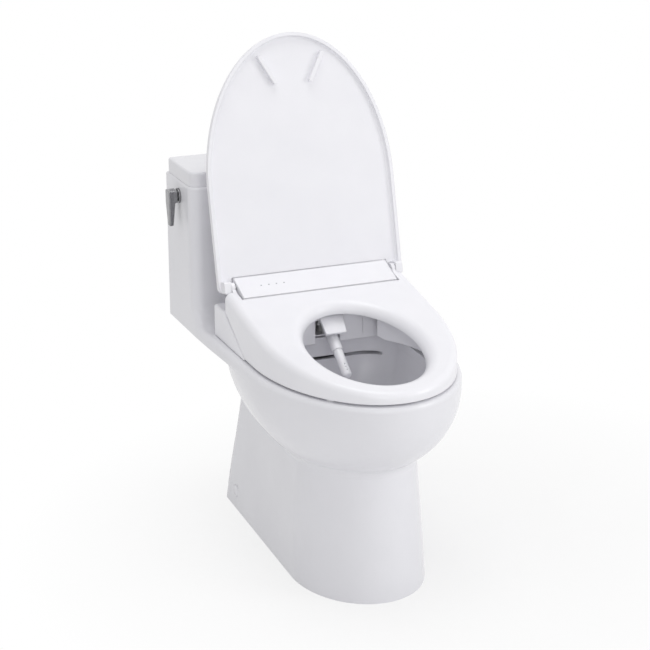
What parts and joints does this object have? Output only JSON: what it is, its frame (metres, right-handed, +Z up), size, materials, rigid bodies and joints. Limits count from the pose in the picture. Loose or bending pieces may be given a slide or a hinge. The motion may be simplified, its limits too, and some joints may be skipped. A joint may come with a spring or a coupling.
{
  "type": "one-piece toilet with washing seat",
  "caption": "Floor-standing skirted toilet cast with its tank, with a side flush lever and a washing seat: hinged lid, heated seat ring, slim housing and a spray wand.",
  "frame": {"origin": "centre of the waste outlet on the floor", "axes": "+Z up, -Y towards the front of the bowl, +X to the left of a person who sits on it"},
  "size_m": [0.4372, 0.719, 0.9836],
  "materials": {
    "ceramic": "gloss",
    "seat_plastic": "gloss",
    "unit_plastic": "satin",
    "chrome": "polished",
    "steel": "satin",
    "brass": "satin",
    "rubber": "matte",
    "white_fitting": "satin",
    "red_fitting": "satin",
    "grey_fitting": "satin",
    "board_green": "satin",
    "heating_foil": "satin",
    "lens_grey": "gloss"
  },
  "bodies": {
    "base": {"ceramic_tank": "ceramic", "ceramic_rim": "ceramic", "ceramic_bowl": "ceramic", "ceramic_trapway": "ceramic", "ceramic_flush_channel": "ceramic", "ceramic_skirt": "ceramic", "bidet_base": "unit_plastic", "bidet_cover": "unit_plastic", "top_panel": "unit_plastic", "side_caps": "unit_plastic", "handle_bushing": "chrome", "floor_brackets": "steel", "side_screws": "steel", "flush_valve_bolts": "steel", "plate_bolts": "steel", "hinge_pins": "steel", "gate_pin": "steel", "heater_tank": "steel", "water_inlet": "brass", "outlet_gasket": "rubber", "flush_valve_gasket": "rubber", "shank_washer": "rubber", "plate_bushes": "rubber", "cord_gland": "rubber", "outlet_adapter": "white_fitting", "handle_nut": "white_fitting", "flush_valve": "white_fitting", "fill_valve": "white_fitting", "shank_nut": "white_fitting", "fill_valve_cap": "white_fitting", "refill_clip": "white_fitting", "mounting_plate": "white_fitting", "wand_guide": "white_fitting", "refill_tube": "grey_fitting", "lid_damper": "grey_fitting", "seat_damper": "grey_fitting", "valve_block": "grey_fitting", "air_fan": "grey_fitting", "wand_motor": "grey_fitting", "control_board": "board_green", "indicator_lenses": "lens_grey"},
    "tank_cover": {"tank_lid": "ceramic"},
    "lever": {"flush_handle": "chrome", "trip_arm": "brass"},
    "lift": {"lift_rod": "steel"},
    "flapper": {"flapper": "red_fitting", "flapper_seal": "rubber"},
    "float": {"float_cup": "grey_fitting", "float_link": "steel"},
    "valve_lever": {"valve_arm": "white_fitting"},
    "lid": {"lid_shell": "seat_plastic", "lid_bumpers": "seat_plastic"},
    "seat": {"seat_ring": "seat_plastic", "seat_pan": "seat_plastic", "seat_heater": "heating_foil", "seat_bumpers": "rubber"},
    "sleeve": {"wand_sleeve": "unit_plastic"},
    "nozzle": {"wand_nozzle": "unit_plastic"},
    "pinion": {"wand_pinion": "white_fitting"},
    "gate": {"nozzle_gate": "unit_plastic"}
  },
  "joints": [
    {"name": "tank_lid_lift", "type": "slide", "parent": "base", "child": "tank_cover", "axis": [0, 0, 1], "range_m": [0, 0.17]},
    {"name": "flush_lever", "type": "hinge", "parent": "base", "child": "lever", "pos_m": [-0.21, 0.208, 0.664], "axis": [1, 0, 0], "range_deg": [0, 28], "stiffness_Nm_per_rad": 0.05},
    {"name": "lift_rod_rise", "type": "slide", "parent": "base", "child": "lift", "axis": [0, 0, 1], "range_m": [0, 0.0198]},
    {"name": "flapper_hinge", "type": "hinge", "parent": "base", "child": "flapper", "pos_m": [0, 0.1645, 0.458], "axis": [1, 0, 0], "range_deg": [0, 14.01]},
    {"name": "float_rise", "type": "slide", "parent": "base", "child": "float", "axis": [0, 0, 1], "range_m": [0, 0.012]},
    {"name": "valve_arm_pivot", "type": "hinge", "parent": "base", "child": "valve_lever", "pos_m": [-0.138, 0.2095, 0.625], "axis": [0, 1, 0], "range_deg": [0, 20.84]},
    {"name": "lid_hinge", "type": "hinge", "parent": "base", "child": "lid", "pos_m": [0, 0.0157, 0.5246], "axis": [-1, 0, 0], "range_deg": [-115.3, 0]},
    {"name": "seat_hinge", "type": "hinge", "parent": "base", "child": "seat", "pos_m": [0, 0.0157, 0.5246], "axis": [-1, 0, 0], "range_deg": [0, 107]},
    {"name": "wand_slide", "type": "slide", "parent": "base", "child": "sleeve", "axis": [0, -0.809, -0.5878], "range_m": [-0.044, 0]},
    {"name": "nozzle_slide", "type": "slide", "parent": "sleeve", "child": "nozzle", "axis": [0, -0.809, -0.5878], "range_m": [-0.0573, 0]},
    {"name": "pinion_turn", "type": "hinge", "parent": "base", "child": "pinion", "pos_m": [0, -0.04261, 0.43679], "axis": [1, 0, 0], "range_deg": [-315.2, 0]},
    {"name": "gate_hinge", "type": "hinge", "parent": "base", "child": "gate", "pos_m": [0, -0.0725, 0.472], "axis": [-1, 0, 0], "range_deg": [0, 20]}
  ],
  "couplings": [
    {"joint": "lift_rod_rise", "follows": "flush_lever", "m_per_rad": 0.0405},
    {"joint": "flapper_hinge", "follows": "flush_lever", "ratio": 0.5},
    {"joint": "valve_arm_pivot", "follows": "float_rise", "rad_per_m": 30.3},
    {"joint": "nozzle_slide", "follows": "wand_slide", "ratio": 1.3},
    {"joint": "pinion_turn", "follows": "wand_slide", "rad_per_m": 125}
  ]
}
